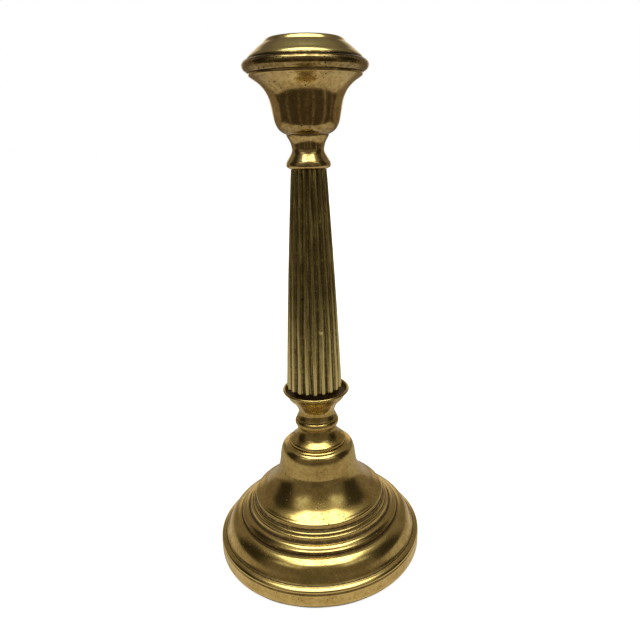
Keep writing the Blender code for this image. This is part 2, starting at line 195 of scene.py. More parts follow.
def mesh_from_grid(name, points, relief, loop=True):
    """Quads between the rows and columns of a grid. Columns wrap round, and rows wrap too on a ring's outline.
    Doubled points at a pole are merged, and then the faces are turned outwards."""
    rows, columns = points.shape[:2]
    row = np.arange(rows if loop else rows - 1)[:, None]
    column = np.arange(columns)[None]
    after = (column + 1) % columns
    below = (row + 1) % rows
    corners = [row * columns + column, below * columns + column, below * columns + after, row * columns + after]
    faces = np.stack(np.broadcast_arrays(*corners), -1).reshape(-1, 4)
    mesh = bpy.data.meshes.new(name)
    mesh.vertices.add(rows * columns)
    mesh.vertices.foreach_set("co", points.reshape(-1))
    mesh.loops.add(faces.size)
    mesh.loops.foreach_set("vertex_index", faces.reshape(-1))
    mesh.polygons.add(len(faces))
    mesh.polygons.foreach_set("loop_start", np.arange(len(faces)) * 4)
    mesh.update(calc_edges=True)
    note = mesh.attributes.new("relief", "FLOAT", "POINT")
    note.data.foreach_set("value", np.broadcast_to(relief, (rows, columns)).astype(np.float32).reshape(-1))
    shape = bmesh.new()
    shape.from_mesh(mesh)
    bmesh.ops.remove_doubles(shape, verts=shape.verts, dist=0.001 * MM)
    bmesh.ops.recalc_face_normals(shape, faces=shape.faces)
    shape.to_mesh(mesh)
    shape.free()
    mesh.polygons.foreach_set("use_smooth", np.ones(len(mesh.polygons), bool))
    return mesh


def show(name, mesh, node, body):
    """Shows the mesh as a piece that stands for a node of the frame and rides on its body."""
    piece = bpy.data.objects.new(name, mesh)
    bpy.context.scene.collection.objects.link(piece)
    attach(piece, body)
    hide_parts(node)
    return piece


def stands_proud(points):
    """How far each point of an outline stands out of its own blurred copy, measured square to the outline and
    divided by the full relief: -1 in creases to 1 on edges."""
    ahead_of = np.roll(points, -1, axis=0) - np.roll(points, 1, axis=0)
    across = np.stack([-ahead_of[:, 1], ahead_of[:, 0]], -1)
    across /= np.maximum(np.hypot(*across.T), 1e-9)[:, None]
    blurred = calmed(points, RELIEF_ROUNDS)
    return np.clip(((points - blurred) * across).sum(1) / FULL_RELIEF, -1.0, 1.0)


def turned(name, outside, inside, node, body, around=288, uneven=0.03, length=26.0):
    """Carries an outline in mm, outside down and inside back up, round the axis from the node's lowest height:
    x = r sin a, y = -r cos a, z = height, with r swelled by the waver on the outside only. The relief is worked
    out on the outside and is -1 inside."""
    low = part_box(node)[0].z / MM
    both = np.concatenate([outside, np.asarray(inside, float)])
    angle = np.linspace(0.0, math.tau, around, endpoint=False)[None]
    radius = both[:, :1]
    height = both[:, 1:] + low
    share = np.concatenate([np.ones(len(outside)), np.zeros(len(inside))])[:, None]
    share = share * np.clip(radius / EVEN_CORE, 0.0, 1.0)
    radius = radius + share * waver(angle, height, uneven, length)
    points = np.stack([radius * np.sin(angle), -radius * np.cos(angle), height + 0.0 * angle], -1) * MM
    relief = np.concatenate([stands_proud(outside), -np.ones(len(inside))])[:, None]
    mesh = mesh_from_grid(name, points, relief)
    print(name, len(mesh.polygons), "faces,", round(both[:, 0].max() * 2.0, 1), "mm across")
    return show(name, mesh, node, body)


# %% [markdown]
# ## The foot
#
# The foot is the largest casting: a shoulder, a long cove, an upper dome that ends in a lip, a few small
# fillets, a round moulding, a lower dome, a bead and a plain band. Subdivision would round all of them alike.
# Listing each as its own sweep keeps the creases where the turner put them. Every point is a radius and a
# height above the piece's lowest edge, in millimetres.

# %% Turn the foot
ROD_HOLE = 3.3
FOOT_HEIGHT = 65.8
FOOT_WALL = 2.6
foot_outside = outline([
    [(16.2, 65.8), (17.1, 65.75)],
    [(17.15, 65.6), (17.5, 65.3)],
    [(17.6, 65.3), (18.3, 65.15), (19.05, 64.8), (19.8, 64.1), (20.5, 63.0), (21.0, 61.6), (21.4, 59.8),
     (21.65, 57.9), (21.95, 55.8), (22.2, 53.6), (22.5, 51.7)],
    [(22.5, 51.7), (23.1, 49.7), (24.15, 47.0), (25.6, 44.5), (27.3, 42.2), (29.2, 40.05), (31.2, 38.0),
     (32.9, 36.7), (34.6, 35.7), (35.8, 35.05), (36.15, 34.75)],
    [(36.2, 34.6), (36.75, 34.5), (37.3, 34.15), (37.5, 33.5), (37.35, 32.9)],
    [(37.3, 32.8), (37.3, 31.9), (37.6, 31.1), (38.2, 30.3)],
    [(38.3, 30.25), (38.95, 30.1)],
    [(39.1, 29.9), (39.2, 29.1), (39.5, 28.95)],
    [(39.6, 28.95), (40.55, 28.85)],
    [(40.75, 28.6), (40.9, 27.6), (41.4, 26.5), (42.0, 25.8)],
    [(42.1, 25.75), (42.8, 25.75), (43.8, 25.45), (44.6, 24.8), (45.1, 24.2)],
    [(45.2, 24.05), (45.75, 23.8)],
    [(45.95, 23.6), (46.1, 22.7), (46.05, 21.8)],
    [(46.2, 21.5), (46.8, 21.65), (47.6, 21.6), (48.7, 21.2), (50.0, 20.45), (51.2, 19.5), (52.4, 18.1),
     (53.5, 16.2), (54.4, 14.1), (55.1, 12.5), (55.7, 11.5), (56.2, 11.05)],
    [(56.3, 10.95), (57.2, 10.7), (58.2, 10.25), (58.9, 9.7), (59.15, 9.1), (58.95, 8.55), (58.6, 8.2)],
    [(58.6, 8.05), (59.0, 7.75), (59.1, 7.0)],
    [(59.1, 7.0), (58.95, 4.0), (58.8, 0.5), (58.5, 0.0)],
], step=0.42, calm=3, crease=1)
foot_inside = [
    (52.9, 0.0), (52.9, 4.2), (50.5, 4.2), (50.5, 8.3), (47.1, 15.2), (41.3, 19.2), (35.4, 26.7), (30.7, 32.5),
    (20.3, 41.7), (19.7, 54.3), (14.2, 61.9), (ROD_HOLE, FOOT_HEIGHT - FOOT_WALL), (ROD_HOLE, FOOT_HEIGHT),
]
foot = turned("foot_brass", foot_outside, foot_inside, "foot", "stand", around=320, uneven=0.035)

# %% [markdown]
# ## Cap, knop and collar
#
# Three small turned pieces carry the column: a flared cap over the foot's shoulder, a round bead, and a collar
# whose dished top hides the end of the column. The bead is one plain bulge with no crease in it, so its
# sweep gets a single round of averaging.

# %% Turn the three small pieces
cap_outside = outline([
    [(9.6, 9.85), (10.55, 9.75)],
    [(10.7, 9.5), (10.95, 8.4), (11.3, 7.1), (11.9, 5.8), (12.5, 4.65), (13.35, 3.65), (14.3, 2.85), (15.2, 2.15),
     (15.95, 1.6), (16.2, 0.8), (16.15, 0.2)],
    [(16.15, 0.2), (16.0, 0.0)],
], step=0.25)
cap = turned(
    "foot_cap_brass", cap_outside, [(ROD_HOLE, 0.0), (ROD_HOLE, 9.85)], "foot_cap", "stand",
    uneven=0.02,
)

knop_outside = outline([
    [(9.8, 5.15), (10.5, 4.95), (11.2, 4.6), (11.9, 4.0), (12.3, 3.2), (12.4, 2.45), (12.3, 1.7), (11.9, 0.9),
     (11.2, 0.3), (10.5, 0.05)],
], step=0.2, calm=1, crease=0)
knop = turned(
    "ring_knop_brass", knop_outside, [(ROD_HOLE, 0.0), (ROD_HOLE, 5.15)], "ring_knop", "stand",
    uneven=0.02,
)

collar_outside = outline([
    [(16.7, 15.6), (17.1, 16.6), (17.5, 17.4), (18.0, 17.6), (18.5, 17.3), (18.7, 16.8), (18.4, 16.2), (17.2, 14.9),
     (16.1, 13.4), (15.6, 12.4)],
    [(15.6, 12.4), (15.2, 12.0), (15.05, 11.7)],
    [(15.05, 11.7), (14.3, 11.1), (12.9, 9.6), (11.5, 7.5), (10.55, 5.4), (10.2, 3.7), (10.45, 2.2), (11.0, 0.9),
     (11.5, 0.05)],
], step=0.25, calm=2)
collar_inside = [
    (ROD_HOLE, 0.0), (ROD_HOLE, 18.5), (12.3, 18.5), (12.5, 18.3), (12.6, 15.4), (12.8, 15.1), (13.1, 15.0),
    (15.6, 15.0), (16.3, 15.1), (16.6, 15.4),
]
collar = turned(
    "column_seat_brass", collar_outside, collar_inside, "column_seat", "stand", uneven=0.02,
)

# %% [markdown]
# ## The fluted column
#
# Twenty hollows run the length of the column and narrow with it. Cutting twenty cones out of a taper is the
# workshop way, and the frame was made so. As a surface it is one formula: the land's radius, less a depth
# that follows a rounded hollow across each pitch. The casting is rough at its lower end, where the flutes
# hang over the collar, and the column leans a hair off the axis, as loosely clamped columns do. A few cast
# pits and pimples are added one by one.

# %% Work out the column
FLUTES = 20
HOLLOW_SHARE = 0.66                 # of each pitch that the hollow takes
HOLLOW_DEEP = 0.80                  # depth of a hollow over half its width
FLUTE_TURN = math.radians(2.0)
LAND_AT_FOOT, LAND_TAPER, LAND_SWELL = 15.4, 6.3, 0.35
LAND_CROWN = 0.10                   # mm that a land's edges are lower than its middle
COLUMN_BORE = 5.6
COLUMN_LEAN = -0.8                  # mm sideways at the lower end
# Each pit: its angle from the front, its height on the column, its size and its depth, below 0 for a pimple
PITS = [(-0.45, 53.0, 0.7, 0.7), (0.28, 36.0, 0.85, -0.7), (1.9, 71.0, 0.5, 0.4), (3.3, 22.0, 0.6, 0.5)]
column_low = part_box("fluted_column")[0].z / MM
column_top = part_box("fluted_column")[1].z / MM
column_rise = column_top - column_low


def column_surface(rows=190, around=FLUTES * 20):
    """At share s of the height the land's radius is foot - taper s + swell sin(pi s). Across a pitch, w runs
    from -1 to 1 over the hollow, which sinks by depth (1 - w^2)^0.7. The lowest edge is ragged. A pit takes
    exp(-(distance / size)^2) of its depth off the radius. The relief falls from lands to hollows."""
    share = np.linspace(1.0, 0.0, rows)[:, None]
    angle = np.linspace(0.0, math.tau, around, endpoint=False)[None]
    land = LAND_AT_FOOT - LAND_TAPER * share + LAND_SWELL * np.sin(math.pi * share)
    pitch = math.tau / FLUTES
    wander = 0.012 * np.sin(3.0 * angle + 9.0 * share) + 0.006 * np.sin(7.0 * angle - 21.0 * share)
    place = ((angle - FLUTE_TURN + wander) / pitch + 0.5) % 1.0 - 0.5
    across = (np.abs(place) - 0.5) / (0.5 * HOLLOW_SHARE)
    hollow = np.clip(1.0 - across ** 2, 0.0, 1.0) ** 0.7
    depth = land * pitch * 0.5 * HOLLOW_SHARE * HOLLOW_DEEP
    rounded = LAND_CROWN * (np.abs(place) / (0.5 - 0.5 * HOLLOW_SHARE)) ** 2 * (hollow <= 0.0)
    radius = land - hollow * depth - rounded + waver(angle, share * column_rise, 0.05, 30.0)
    # The power keeps the raggedness to the lowest few millimetres
    ragged = waver(angle * 5.0, 0.0 * share, 0.45, 10.0) - 0.15
    height = share * column_rise + (1.0 - share) ** 40 * np.clip(0.3 + ragged, 0.0, 1.2)
    for turn, rise, size, sink in PITS:
        near = ((((angle - turn) + math.pi) % math.tau - math.pi) * land) ** 2 + (share * column_rise - rise) ** 2
        mark = np.exp(-near / size ** 2)
        radius = radius - sink * mark
        hollow = hollow + np.sign(sink) * mark
    relief = np.clip(0.9 - 1.8 * hollow, -1.0, 1.0)
    return radius, angle, height, relief


radius, angle, height, relief = column_surface()
bore = np.array([[COLUMN_BORE, 0.0], [COLUMN_BORE, column_rise]])
radius = np.concatenate([radius, np.broadcast_to(bore[:, :1], (2, radius.shape[1]))])
height = np.concatenate([height, np.broadcast_to(bore[:, 1:], (2, radius.shape[1]))])
relief = np.concatenate([relief, -np.ones((2, relief.shape[1]))])
lean = COLUMN_LEAN * (1.0 - height / column_rise)
column_points = np.stack([radius * np.sin(angle) + lean, -radius * np.cos(angle), height + column_low], -1) * MM
column = show(
    "fluted_column_brass", mesh_from_grid("fluted_column_brass", column_points, relief), "fluted_column", "stand",
)
print("column", round(column_rise, 1), "mm high with", FLUTES, "flutes,", len(column.data.polygons), "faces")

# %% [markdown]
# ## Neck and cup
#
# The neck is a spool between two creases. The cup above it swells, runs nearly straight, flares, and ends in a
# heavy bead. The flare turns quickly from mirroring the table to mirroring the ceiling, so its sweep has the
# closest points.

# %% Turn the neck and the cup
neck_outside = outline([
    [(9.0, 16.67), (10.7, 16.65)],
    [(10.75, 16.6), (10.55, 16.0), (9.9, 14.8), (9.1, 13.4), (8.6, 12.2), (8.3, 11.0), (8.1, 9.8), (8.1, 9.0),
     (8.25, 8.2), (8.6, 7.4), (9.05, 6.65), (9.68, 5.62), (10.31, 4.58), (10.9, 3.6), (11.2, 2.8), (11.2, 2.3)],
    [(11.2, 2.3), (11.25, 1.7), (10.9, 0.9), (10.2, 0.4), (9.2, 0.0)],
], step=0.25, calm=3, crease=1)
neck = turned(
    "cup_neck_brass", neck_outside, [(ROD_HOLE, 0.0), (ROD_HOLE, 16.65)], "cup_neck", "stand",
    uneven=0.03,
)

cup_outside = outline([
    [(25.6, 34.0), (28.2, 34.0)],
    [(28.2, 34.0), (29.0, 33.75), (29.85, 33.1), (30.5, 32.3), (30.75, 31.4), (30.55, 30.4), (29.95, 29.5),
     (29.2, 28.9)],
    [(29.1, 28.8), (28.3, 28.4), (27.7, 28.0)],
    [(27.7, 27.9), (27.85, 27.3), (27.6, 26.8)],
    [(27.5, 26.7), (26.4, 25.9), (24.8, 24.9), (23.2, 23.7), (21.7, 22.3), (20.45, 20.8), (19.5, 19.2),
     (18.75, 17.6), (18.2, 16.0), (17.75, 14.2), (17.35, 12.2), (17.0, 10.3), (16.65, 8.4), (16.2, 6.4),
     (15.55, 4.5), (14.6, 2.75), (13.3, 1.35), (12.2, 0.6)],
    [(12.2, 0.6), (11.5, 0.3), (11.0, 0.0)],
], step=0.3, calm=6, crease=1)
cup_inside = [
    (ROD_HOLE, 0.0), (ROD_HOLE, 3.6), (11.5, 3.6), (13.2, 4.6), (14.3, 7.0), (15.7, 15.2), (18.0, 21.4),
    (21.8, 25.8), (25.2, 29.0), (25.6, 30.0),
]
cup = turned(
    "candle_cup_brass", cup_outside, cup_inside, "candle_cup", "stand", around=320, uneven=0.05,
)

# %% [markdown]
# ## The lift-out nozzle
#
# The drip pan and the socket soldered into it lift out of the cup together, so they ride on the other body.
# The pan's outline is a short upright lip, a straight slope and a bullnose that sits on the cup's bead. Its
# dish and the socket are only seen from above, where the candle goes.

# %% Turn the drip pan and the candle socket
pan_outside = outline([
    [(12.6, 9.7), (14.8, 9.85), (16.2, 10.6), (16.9, 11.6)],
    [(16.9, 11.6), (17.3, 11.95), (17.8, 12.0), (18.4, 11.75), (18.9, 11.3), (19.4, 10.7), (19.8, 10.15)],
    [(19.9, 10.0), (20.4, 9.65), (21.2, 9.1), (22.6, 8.05), (24.0, 6.85), (25.3, 5.7)],
    [(25.3, 5.7), (26.1, 5.1), (26.7, 4.55), (27.2, 4.0), (27.6, 3.5), (27.8, 3.05)],
], step=0.25, calm=2, crease=1)
pan_inside = [
    (27.9, 3.0), (25.2, 3.0), (25.2, 0.0), (24.1, 0.0), (24.1, 3.6), (17.8, 8.3), (12.6, 8.3),
]
pan = turned("drip_pan_brass", pan_outside, pan_inside, "drip_pan", "nozzle", around=320, uneven=0.03)

SOCKET_RELIEF = -0.85               # candles rub the socket a little cleaner than the other insides
socket_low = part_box("candle_socket")[0].z / MM
socket_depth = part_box("candle_socket")[1].z / MM - socket_low
socket_line = np.array([
    (0.0, 1.1), (10.2, 1.1), (10.9, 1.4), (11.2, 2.2), (11.2, socket_depth - 0.5), (11.45, socket_depth),
    (12.0, socket_depth), (12.3, socket_depth - 0.4), (12.3, 1.2), (11.9, 0.3), (11.0, 0.0), (0.0, 0.0),
])
socket_angle = np.linspace(0.0, math.tau, 192, endpoint=False)[None]
socket_points = np.stack([
    socket_line[:, :1] * np.sin(socket_angle),
    -socket_line[:, :1] * np.cos(socket_angle),
    socket_line[:, 1:] + socket_low + 0.0 * socket_angle,
], -1) * MM
socket = show(
    "candle_socket_brass", mesh_from_grid("candle_socket_brass", socket_points, SOCKET_RELIEF, loop=False),
    "candle_socket", "nozzle",
)

# %% [markdown]
# ## The felt under the foot
#
# A disc of baize keeps the foot from scratching the table. Its cut edge is never quite round and its rim is
# slightly crushed, which a waver in the radius shows.

# %% Cut the felt
pad_low, pad_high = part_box("baize_pad")
pad_rise = (pad_high.z - pad_low.z) / MM
pad_radius = pad_high.x / MM
pad_angle = np.linspace(0.0, math.tau, 360, endpoint=False)[None]
pad_line = np.array([
    (0.0, pad_rise), (pad_radius - 1.0, pad_rise), (pad_radius - 0.2, pad_rise - 0.15),
    (pad_radius, pad_rise * 0.5), (pad_radius - 0.1, 0.1), (pad_radius - 0.6, 0.0), (0.0, 0.0),
])
frayed = waver(pad_angle * 3.0, 0.0 * pad_line[:, :1], 0.18, 8.0) - 0.1
pad_spread = pad_line[:, :1] + frayed * (pad_line[:, :1] > pad_radius * 0.9)
pad_points = np.stack([
    pad_spread * np.sin(pad_angle), -pad_spread * np.cos(pad_angle), pad_line[:, 1:] + 0.0 * pad_angle,
], -1) * MM
pad = show(
    "baize_pad_felt", mesh_from_grid("baize_pad_felt", pad_points, 0.0, loop=False), "baize_pad", "stand",
)

# %% [markdown]
# ## Writing a finish as sums
#
# Node trees are quick to draw by hand and slow to read back. Here a small class wraps a socket, so that
# 1 - mask or dirt * 0.4 adds the Math node for it, and one method adds every other kind of node.

# %% The class for finishes
class Wire:
    """A node's output that can be added, taken away, multiplied and divided."""

    def __init__(self, socket):
        self.socket = socket
        self.tree = socket.id_data

    @staticmethod
    def node(tree, kind, settings=None, output=0, **sockets):
        """Adds a node. Its settings come first, then its sockets, named or numbered as in_0."""
        made = tree.nodes.new(kind)
        for key, value in (settings or {}).items():
            setattr(made, key, value)
        for key, value in sockets.items():
            entry = made.inputs[int(key[3:])] if key.startswith("in_") else made.inputs[key.replace("_", " ")]
            if isinstance(value, Wire):
                tree.links.new(value.socket, entry)
            else:
                entry.default_value = value
        return Wire(made.outputs[output])

    def maths(self, operation, first, second=0.0):
        """The operation on the two values that are given, which needn't include this one."""
        return Wire.node(self.tree, "ShaderNodeMath", {"operation": operation}, in_0=first, in_1=second)

    def __add__(self, other):
        return self.maths("ADD", self, other)

    def __radd__(self, other):
        return self.maths("ADD", other, self)

    def __sub__(self, other):
        return self.maths("SUBTRACT", self, other)

    def __rsub__(self, other):
        return self.maths("SUBTRACT", other, self)

    def __mul__(self, other):
        return self.maths("MULTIPLY", self, other)

    def __rmul__(self, other):
        return self.maths("MULTIPLY", other, self)

    def __truediv__(self, other):
        return self.maths("DIVIDE", self, other)

    def __rtruediv__(self, other):
        return self.maths("DIVIDE", other, self)

    def power(self, exponent):
        """The value to the power of the exponent."""
        return self.maths("POWER", self, exponent)

    def size(self):
        """The value without its sign."""
        return self.maths("ABSOLUTE", self)

    def at_least(self, low):
        """The larger of the value and low."""
        return self.maths("MAXIMUM", self, low)

    def rise(self, low, high):
        """0 below low, 1 above high, and a smooth step between. With high under low it falls instead."""
        flip = high < low
        ends = (1.0, 0.0) if flip else (0.0, 1.0)
        return Wire.node(
            self.tree, "ShaderNodeMapRange", {"interpolation_type": "SMOOTHSTEP"},
            Value=self, From_Min=min(low, high), From_Max=max(low, high), To_Min=ends[0], To_Max=ends[1],
        )

    def within(self, low, high, soft):
        """1 between low and high, with soft edges."""
        return self.rise(low - soft, low + soft) * self.rise(high + soft, high - soft)


def blended(tree, share, first, second):
    """One colour over another by a share. Colours go through a Mix node, which keeps all three channels."""
    ends = [color if isinstance(color, Wire) else (*color, 1.0) for color in (first, second)]
    return Wire.node(tree, "ShaderNodeMix", {"data_type": "RGBA"}, output=2, in_0=share, in_6=ends[0], in_7=ends[1])


def begin_finish(name):
    """A new material, its tree, and each point's place in millimetres, which is its Object place over 0.001."""
    made = bpy.data.materials.new(name)
    made.use_nodes = True
    tree = made.node_tree
    spot = Wire.node(tree, "ShaderNodeTexCoord", output="Object")
    spot = Wire.node(tree, "ShaderNodeVectorMath", {"operation": "SCALE"}, in_0=spot, Scale=1.0 / MM)
    return made, tree, spot


def feed_shader(tree, wires):
    """Links each wire to the shader's socket of that name, and returns the shader."""
    shader = tree.nodes["Principled BSDF"]
    for key, wire in wires.items():
        tree.links.new(wire.socket, shader.inputs[key])
    return shader


print("a finish can now be written as sums")

# %% [markdown]
# ## Old brass
#
# Polished brass is a metal with a yellow mirror colour. What makes it old is never one thing: broad clouds of
# thin tarnish, a mottle of a millimetre or so, small pits from the casting sand, brown wax in the creases, and
# edges that keep their shine. Noise is read from Object coordinates in millimetres, so the grain has the same
# size on every piece. The column's wear is drawn out along its flutes, the way that hands and cloths run.

# %% The brass recipe
STREAK_DRAW = (1.0, 1.0, 0.016)     # draws the streaks' noise out about sixty times along the axis
WORN_HEIGHTS = (175.0, 108.0)       # mm over which the column's lands go from dull to worn, downwards
WORN_BRIGHT = (1.0, 0.86, 0.45)


def old_brass(name, bright, dull, wax_and_shade, rough, clouded, mottled, pitted, grain, bands=(), streaked=0.0):
    """Three colours, bright, dull and wax_and_shade, are laid over each other by shares between 0 and 1:
    dulled = clouds and mottle, less on edges; dirt = creases and pits; stain_and_shade = bands of height in mm,
    each with its low and high end, soft edge and strength: real stains on some, painted shade on others. Streaks
    bring back brightness along the axis and towards the foot. The grain is the depth of the bump in mm."""
    made, tree, spot = begin_finish(name)
    level = Wire.node(tree, "ShaderNodeSeparateXYZ", output="Z", Vector=spot)
    # The note of what stands proud, split into creases and edges
    proud = Wire.node(tree, "ShaderNodeAttribute", {"attribute_name": "relief"}, output="Fac")
    crease = (0.0 - proud).rise(0.45, 1.05)
    edge = proud.rise(0.15, 0.9)
    # Patterns, from the broadest to the finest
    cloud = Wire.node(tree, "ShaderNodeTexNoise", Vector=spot, Scale=0.075, Detail=3.0, Roughness=0.55)
    mottle = Wire.node(tree, "ShaderNodeTexNoise", Vector=spot, Scale=0.55, Detail=4.0, Roughness=0.62)
    speck = Wire.node(tree, "ShaderNodeTexNoise", Vector=spot, Scale=1.7, Detail=2.0, Roughness=0.5)
    holes = Wire.node(tree, "ShaderNodeTexVoronoi", {"feature": "F1"}, output="Distance", Vector=spot, Scale=0.42)
    pits = holes.rise(0.22, 0.10) * cloud.rise(0.42, 0.60) * pitted
    # The shares that lay one colour over another
    dulled = (cloud.rise(0.35, 0.68) * clouded + mottle.rise(0.38, 0.72) * mottled) * (1.0 - 0.7 * edge)
    dirt = (crease * (0.65 + 0.35 * mottle.rise(0.25, 0.55)) + pits).rise(0.0, 1.0)
    stain_and_shade = 0.0
    # Each band darkens a range of heights towards the wax colour: a real stain in some places, painted shade at
    # joints and under mouldings in others
    for low, high, soft, strength in bands:
        stain_and_shade = stain_and_shade + level.within(low, high, soft) * (mottle.rise(0.30, 0.60) * 0.3 + 0.7) * strength
    if streaked:
        drawn = Wire.node(tree, "ShaderNodeVectorMath", {"operation": "MULTIPLY"}, in_0=spot, in_1=STREAK_DRAW)
        streak = Wire.node(tree, "ShaderNodeTexNoise", Vector=drawn, Scale=1.1, Detail=3.0, Roughness=0.6)
        lands = proud.rise(0.0, 0.7) * level.rise(*WORN_HEIGHTS)
        worn = streak.rise(0.50, 0.62) * streaked + lands * 0.8
        dulled = (dulled + 0.5 - worn).rise(0.0, 1.0)
    color = blended(tree, dulled, bright, dull)
    if streaked:
        color = blended(tree, lands * streak.rise(0.40, 0.60), color, WORN_BRIGHT)
    # Creases and pits take the wax colour; the bands take it too, as real stains and as painted shade
    color = blended(tree, (dirt + stain_and_shade).rise(0.0, 1.0), color, wax_and_shade)
    # Wax and the bands, stains and painted shade alike, scatter more; edges are polished, and wax is no metal
    roughness = rough + 0.16 * (mottle - 0.5) + 0.10 * cloud * clouded + 0.30 * dirt + 0.12 * stain_and_shade - 0.04 * edge
    height = mottle * 0.55 + speck * 0.45 - pits * 1.4
    bump = Wire.node(tree, "ShaderNodeBump", output="Normal", Strength=1.0, Distance=grain * MM, Height=height)
    feed_shader(tree, {
        "Base Color": color, "Roughness": roughness, "Metallic": 1.0 - 0.6 * dirt, "Normal": bump,
    })
    print(name, "has", len(tree.nodes), "nodes")
    return made


PAN_BRASS = old_brass(
    "pan_brass", bright=(0.60, 0.50, 0.22), dull=(0.44, 0.35, 0.13), wax_and_shade=(0.07, 0.042, 0.014),
    rough=0.15, clouded=0.4, mottled=0.35, pitted=0.25, grain=0.007,
    # The band at the pan's lower edge is painted shade: a dark line where the bullnose sits on the cup's bead
    bands=[(270.5, 272.1, 0.25, 0.8)],
)
CUP_BRASS = old_brass(
    "cup_brass", bright=(0.86, 0.69, 0.31), dull=(0.50, 0.35, 0.13), wax_and_shade=(0.07, 0.038, 0.014),
    rough=0.14, clouded=0.5, mottled=0.75, pitted=1.0, grain=0.011,
    bands=[
        # Bands: the first darkens the bead; the second is painted shade on the bead's top, under the pan's
        # bullnose; the third is wax in the groove under the bead; the fourth darkens the cup's bottom above the
        # neck, partly dirt and partly painted shade
        (265.4, 272.0, 0.6, 0.55), (269.8, 272.0, 0.4, 0.4), (262.0, 265.4, 1.2, 0.25), (236.0, 240.5, 1.5, 0.45),
    ],
)
COLUMN_BRASS = old_brass(
    "column_brass", bright=(0.80, 0.71, 0.30), dull=(0.31, 0.24, 0.09), wax_and_shade=(0.06, 0.046, 0.016),
    rough=0.28, clouded=0.5, mottled=0.5, pitted=0.4, grain=0.014, streaked=0.9,
)
FOOT_BRASS = old_brass(
    "foot_brass", bright=(0.76, 0.60, 0.24), dull=(0.52, 0.37, 0.12), wax_and_shade=(0.07, 0.04, 0.014),
    rough=0.18, clouded=0.65, mottled=0.75, pitted=0.8, grain=0.014,
    # Bands: stains round the base; painted shade on the short wall under the round moulding; dirt on the collar's
    # rim
    bands=[(0.0, 2.4, 0.6, 0.7), (23.4, 25.0, 0.2, 0.8), (95.5, 101.5, 1.0, 0.35)],
)

for piece, finish in {
    pan: PAN_BRASS, socket: PAN_BRASS, cup: CUP_BRASS, neck: CUP_BRASS, column: COLUMN_BRASS,
    collar: FOOT_BRASS, knop: FOOT_BRASS, cap: FOOT_BRASS, foot: FOOT_BRASS,
}.items():
    piece.data.materials.append(finish)

# %% [markdown]
# ## Steel and felt
#
# The clamp plate, washers, nuts and rod are plain steel, grey with a little rust. The frame's own pieces have
# the right shape for them, so they keep it and take this finish. The felt is a dark green with a short nap.

# %% Steel and felt
def plain_steel():
    """Grey steel. Rust = broad patches times grain; it adds brown, roughness and a surface that is no metal."""
    made, tree, spot = begin_finish("dull_steel")
    patch = Wire.node(tree, "ShaderNodeTexNoise", Vector=spot, Scale=0.20, Detail=4.0)
    grain = Wire.node(tree, "ShaderNodeTexNoise", Vector=spot, Scale=2.5, Detail=3.0)
    rust = patch.rise(0.56, 0.70) * grain.rise(0.3, 0.6)
    feed_shader(tree, {
        "Base Color": blended(tree, rust, (0.42, 0.41, 0.39), (0.20, 0.10, 0.05)),
        "Roughness": 0.34 + 0.3 * rust + 0.1 * grain,
        "Metallic": 1.0 - 0.7 * rust,
        "Normal": Wire.node(
            tree, "ShaderNodeBump", output="Normal", Strength=1.0, Distance=0.02 * MM, Height=grain),
    })
    return made


def green_felt():
    """Dark green wool: two noises vary the colour, and the finer one stands the nap up as bump."""
    made, tree, spot = begin_finish("green_felt")
    patch = Wire.node(tree, "ShaderNodeTexNoise", Vector=spot, Scale=0.15, Detail=4.0)
    nap = Wire.node(tree, "ShaderNodeTexNoise", Vector=spot, Scale=4.0, Detail=4.0, Roughness=0.7)
    shader = feed_shader(tree, {
        "Base Color": blended(
            tree, (patch * 0.6 + nap * 0.5).rise(0.3, 0.9), (0.012, 0.030, 0.020), (0.045, 0.075, 0.050)),
        "Normal": Wire.node(
            tree, "ShaderNodeBump", output="Normal", Strength=1.0, Distance=0.15 * MM, Height=nap),
        "Roughness": 0.9 + 0.08 * nap,
    })
    shader.inputs["Sheen Weight"].default_value = 0.4
    return made


STEEL = plain_steel()
FELT = green_felt()
pad.data.materials.append(FELT)
for node in ("clamp_plate", "lock_washer", "foot_nut", "cup_washer", "cup_nut", "tie_rod"):
    hidden_part = frame["nodes"][node]
    hidden_part.data.materials.clear()
    hidden_part.data.materials.append(STEEL)
print("finishes:", sorted(m.name for m in bpy.data.materials if m.users))

# %% [markdown]
# ## The room that the brass mirrors
#
# A mirror has no look of its own. Small lamps would leave the metal black between their spots, so this room
# is painted on the world instead, as a function of direction: a broad bright panel overhead, a paler strip in
# front of it on both sides, dark sides, and a white wall behind. The elevation e and the azimuth a of a
# direction (x, y, z) are asin(z) and atan2(x, -y), and a is 0 towards the front. On a ceiling one unit up a
# direction meets the place (x / z, y / z), and the panel is a rectangle there.
#
# The camera itself sees plain white, which the Light Path node tells apart.

# %% Paint the room
world = bpy.data.worlds.new("room")
bpy.context.scene.world = world
world.use_nodes = True
room = world.node_tree
room.nodes.clear()
facing = Wire.node(room, "ShaderNodeTexCoord", output="Generated")
x, y, z = (Wire.node(room, "ShaderNodeSeparateXYZ", output=axis, Vector=facing) for axis in "XYZ")
DEGREE = math.degrees(1.0)
ROOM_GLOW = 0.15
WARM, NEAR_WHITE = (1.0, 0.82, 0.60), (1.0, 0.99, 0.82)
elevation = z.maths("ARCSINE", z) * DEGREE
azimuth = x.maths("ARCTAN2", x, 0.0 - y) * DEGREE
aside = azimuth.size()

over = z.at_least(0.05)
panel = (x / over).within(-0.46, 0.50, 0.12) * ((0.0 - y) / over).within(-0.15, 0.60, 0.06) * z.rise(0.5, 0.6)
strip = elevation.within(33.0, 46.0, 4.0) * aside.within(26.0, 60.0, 7.0)
